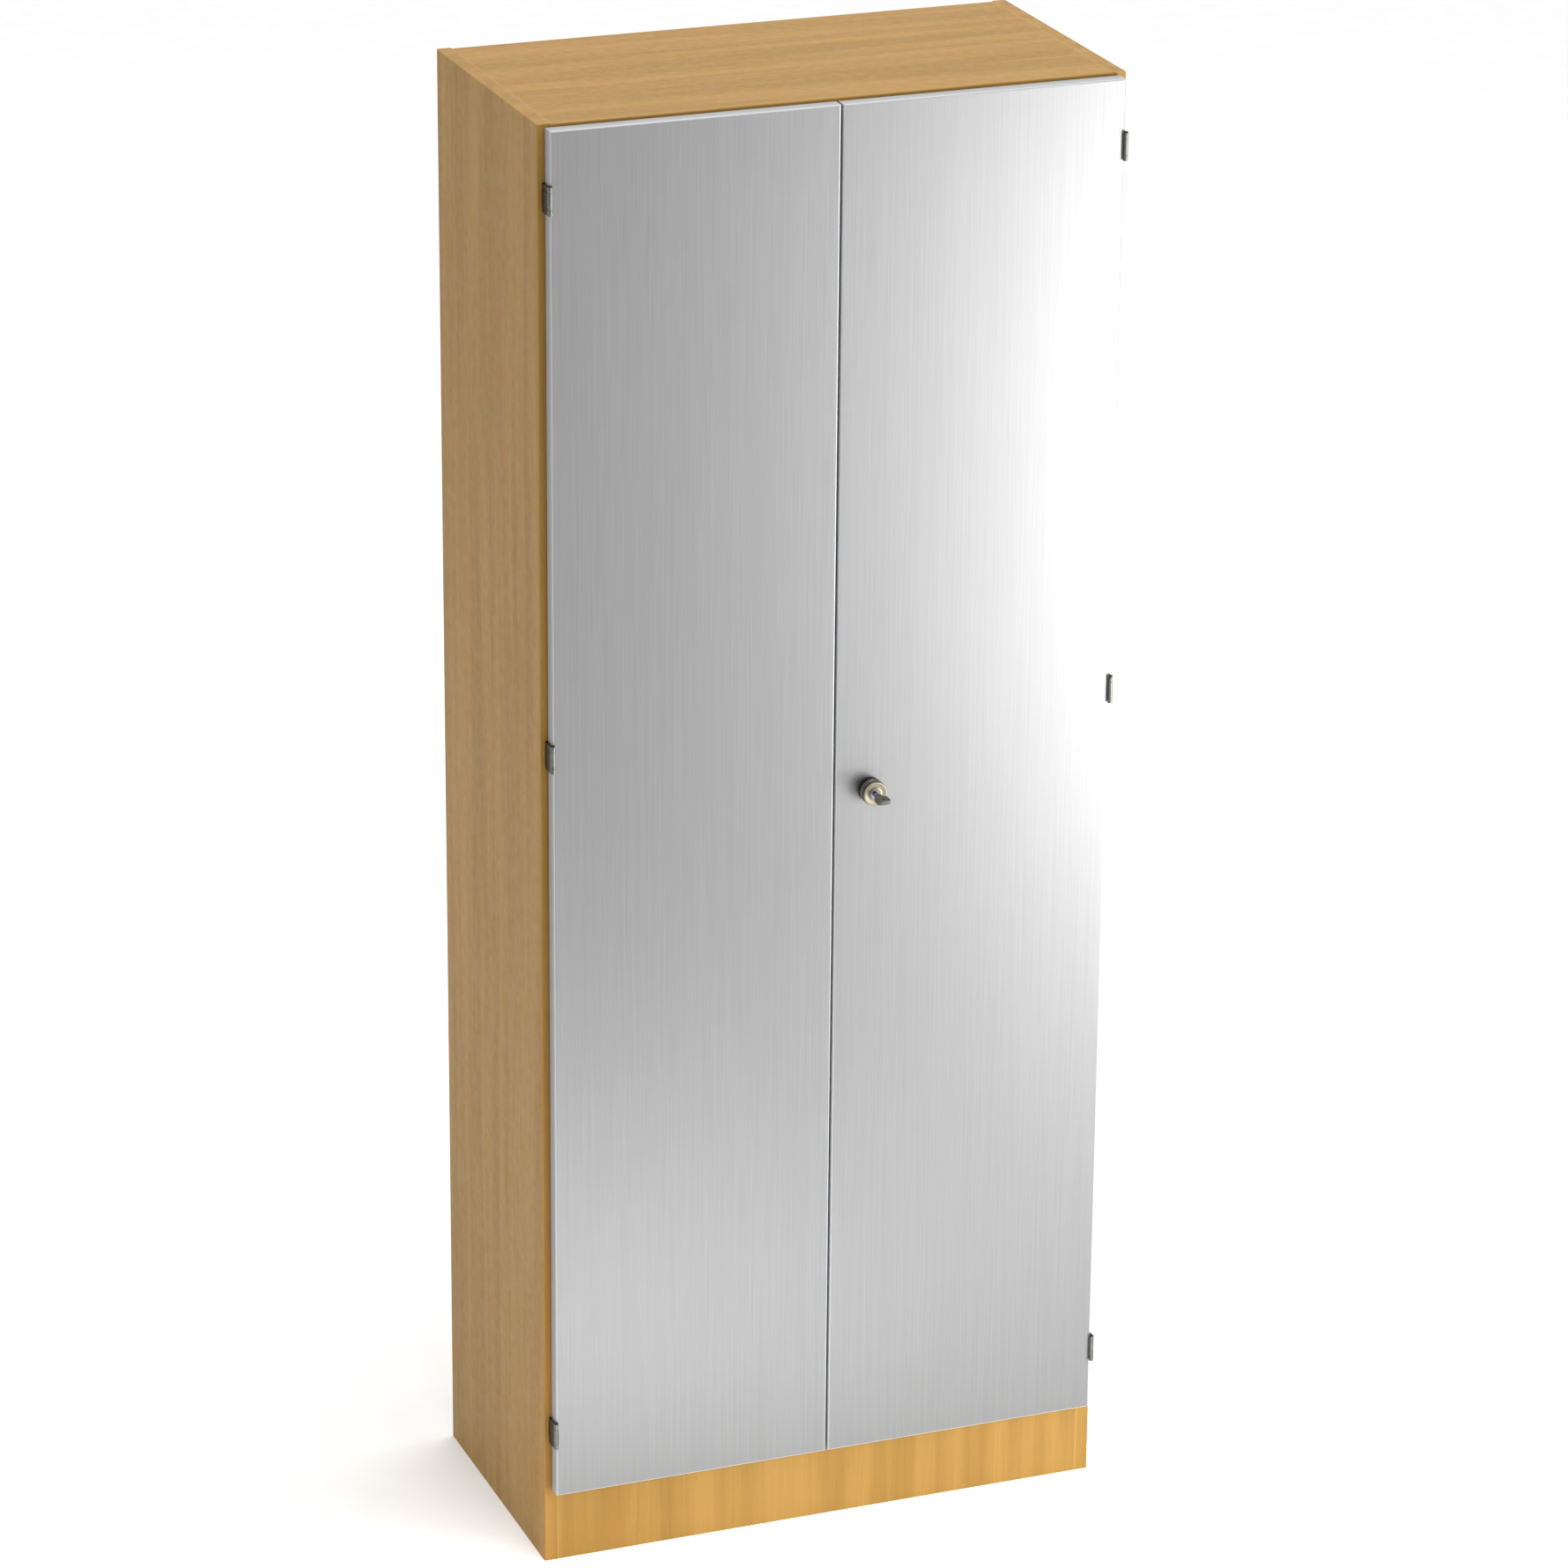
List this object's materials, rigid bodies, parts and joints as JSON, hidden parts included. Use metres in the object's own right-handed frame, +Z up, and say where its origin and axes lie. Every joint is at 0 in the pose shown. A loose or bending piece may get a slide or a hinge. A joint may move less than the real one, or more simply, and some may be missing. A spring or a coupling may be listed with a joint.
{
  "type": "tall two-door office cabinet",
  "caption": "Tall free-standing storage cabinet in wood-grain board with silver hinged doors, a turning knob with a key lock, inner shelves and levelling feet.",
  "frame": {"origin": "on the floor, at the middle of the overall width and depth, key included", "axes": "+X to the right seen from the front, +Y from the doors to the back, +Z up"},
  "size_m": [0.8, 0.475, 2.004],
  "materials": {
    "wood_decor_board": "fine vertical wood-grain melamine, satin",
    "wood_decor_back": "thin board with the same grain print, satin",
    "silver_door_board": "silver metallic melamine on board, fine vertical brush lines, satin",
    "beech_dowel": "fluted beech",
    "zinc_plated_steel": "zinc plated",
    "cam_zinc": "die-cast zinc",
    "silver_painted_steel": "silver paint, satin",
    "black_plastic": "black, satin",
    "wood_tone_plastic": "wood-toned, satin",
    "leveler_steel_and_plastic": "black moulded pad and screw",
    "bright_chrome": "polished",
    "champagne_metal": "champagne, satin turned",
    "nickel_cylinder": "nickel plated",
    "key_nickel": "nickel plated",
    "key_grip_plastic": "dark olive grey",
    "clear_rubber": "soft clear"
  },
  "bodies": {
    "carcass": {"side_panel_left": "wood_decor_board", "side_panel_right": "wood_decor_board", "top_panel": "wood_decor_board", "bottom_panel": "wood_decor_board", "plinth_board": "wood_decor_board", "rear_rail": "wood_decor_board", "back_panel": "wood_decor_back", "fixed_shelf": "wood_decor_board", "adjustable_shelf_1": "wood_decor_board", "adjustable_shelf_2": "wood_decor_board", "adjustable_shelf_3": "wood_decor_board", "shelf_pins": "zinc_plated_steel", "cam_fittings": "cam_zinc", "cam_bolts": "zinc_plated_steel", "wood_dowels": "beech_dowel", "leveler_housings": "black_plastic", "access_caps": "wood_tone_plastic", "strike_plates": "zinc_plated_steel", "strike_screws": "zinc_plated_steel", "door_bumpers": "clear_rubber", "hinge_plates_left": "silver_painted_steel", "hinge_plates_right": "silver_painted_steel", "hinge_pins_left": "zinc_plated_steel", "hinge_pins_right": "zinc_plated_steel", "hinge_caps_left": "black_plastic", "hinge_caps_right": "black_plastic", "hinge_plate_screws_left": "zinc_plated_steel", "hinge_plate_screws_right": "zinc_plated_steel"},
    "left_door": {"door_panel_left": "silver_door_board", "hinge_leaves_left": "silver_painted_steel", "hinge_leaf_screws_left": "zinc_plated_steel", "keeper_plate": "zinc_plated_steel", "keeper_screws": "zinc_plated_steel"},
    "right_door": {"door_panel_right": "silver_door_board", "hinge_leaves_right": "silver_painted_steel", "hinge_leaf_screws_right": "zinc_plated_steel", "lock_base_plate": "silver_painted_steel", "lock_cover": "silver_painted_steel", "lock_screws": "zinc_plated_steel", "rod_guides": "black_plastic", "rod_guide_screws": "zinc_plated_steel"},
    "knob": {"knob_body": "black_plastic", "knob_rings": "bright_chrome", "knob_face": "champagne_metal", "cylinder_housing": "nickel_cylinder", "spindle": "zinc_plated_steel", "pinion": "zinc_plated_steel", "spindle_spacer": "zinc_plated_steel", "locking_arm": "zinc_plated_steel", "arm_nut": "zinc_plated_steel"},
    "lock_rotor": {"lock_core": "nickel_cylinder"},
    "key": {"key_blade": "key_nickel", "key_pin": "key_nickel"},
    "key_grip": {"key_bow": "key_grip_plastic"},
    "upper_rod": {"upper_rod": "zinc_plated_steel"},
    "lower_rod": {"lower_rod": "zinc_plated_steel"},
    "front_left_foot": {"leveler_foot_front_left": "leveler_steel_and_plastic"},
    "front_right_foot": {"leveler_foot_front_right": "leveler_steel_and_plastic"},
    "rear_left_foot": {"leveler_foot_rear_left": "leveler_steel_and_plastic"},
    "rear_right_foot": {"leveler_foot_rear_right": "leveler_steel_and_plastic"}
  },
  "joints": [
    {"name": "left_door_swing", "type": "hinge", "parent": "carcass", "child": "left_door", "pos_m": [-0.391, -0.1855, 1], "axis": [0, 0, -1], "range_deg": [0, 240]},
    {"name": "right_door_swing", "type": "hinge", "parent": "carcass", "child": "right_door", "pos_m": [0.391, -0.1855, 1], "axis": [0, 0, 1], "range_deg": [0, 240]},
    {"name": "knob_turn", "type": "hinge", "parent": "right_door", "child": "knob", "pos_m": [0.05, -0.1525, 1.07], "axis": [0, 1, 0], "range_deg": [0, 90]},
    {"name": "upper_rod_slide", "type": "slide", "parent": "right_door", "child": "upper_rod", "axis": [0, 0, 1], "range_m": [0, 0.0157]},
    {"name": "lower_rod_slide", "type": "slide", "parent": "right_door", "child": "lower_rod", "axis": [0, 0, -1], "range_m": [0, 0.0158]},
    {"name": "key_turn", "type": "hinge", "parent": "knob", "child": "lock_rotor", "pos_m": [0.05, -0.2044, 1.07], "axis": [0, 1, 0], "range_deg": [0, 90]},
    {"name": "key_withdraw", "type": "slide", "parent": "lock_rotor", "child": "key", "axis": [0, -1, 0], "range_m": [0, 0.03]},
    {"name": "key_fold", "type": "hinge", "parent": "key", "child": "key_grip", "pos_m": [0.05, -0.2139, 1.07], "axis": [0, 0, 1], "range_deg": [-90, 90]},
    {"name": "front_left_foot_adjust", "type": "slide", "parent": "carcass", "child": "front_left_foot", "axis": [0, 0, -1], "range_m": [0, 0.012]},
    {"name": "front_right_foot_adjust", "type": "slide", "parent": "carcass", "child": "front_right_foot", "axis": [0, 0, -1], "range_m": [0, 0.012]},
    {"name": "rear_left_foot_adjust", "type": "slide", "parent": "carcass", "child": "rear_left_foot", "axis": [0, 0, -1], "range_m": [0, 0.012]},
    {"name": "rear_right_foot_adjust", "type": "slide", "parent": "carcass", "child": "rear_right_foot", "axis": [0, 0, -1], "range_m": [0, 0.012]}
  ],
  "couplings": [
    {"joint": "knob_turn", "follows": "upper_rod_slide", "rad_per_m": 100},
    {"joint": "lower_rod_slide", "follows": "upper_rod_slide", "ratio": 1}
  ]
}
